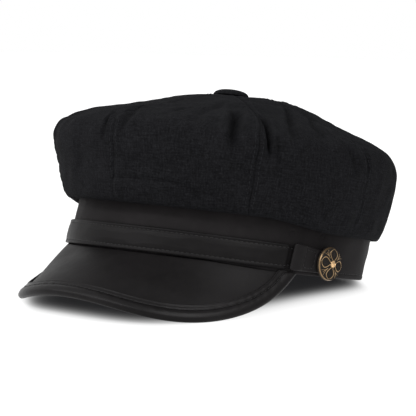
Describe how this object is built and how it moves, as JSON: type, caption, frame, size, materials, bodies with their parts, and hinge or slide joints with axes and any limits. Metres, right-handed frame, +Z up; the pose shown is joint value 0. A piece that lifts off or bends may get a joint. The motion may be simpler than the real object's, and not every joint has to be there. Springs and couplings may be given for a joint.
{
  "type": "biker cap",
  "caption": "Soft peaked cap: panelled cloth crown with a top button, leather head band, bound leather peak, and a front strap held by tabs and metal buttons.",
  "frame": {"origin": "centre of the bottom of the bounding box, on the surface that the cap rests on", "axes": "+Z up, -Y towards the peak, +X towards the wearer's left; the cap lies tipped back on the rear of its rim and both sides of its peak"},
  "size_m": [0.2112, 0.2584, 0.1259],
  "materials": {
    "cotton_twill": "matt black cotton twill",
    "black_leather": "smooth black leather with a soft sheen",
    "antique_brass": "cast and darkened in the recesses"
  },
  "bodies": {
    "root": {"crown": "cotton_twill", "head_band": "black_leather", "peak": "black_leather", "peak_binding": "black_leather", "front_strap": "black_leather", "strap_tab_left": "black_leather", "strap_tab_right": "black_leather", "side_button_left": "antique_brass", "side_button_right": "antique_brass", "top_button": "cotton_twill"}
  },
  "joints": []
}
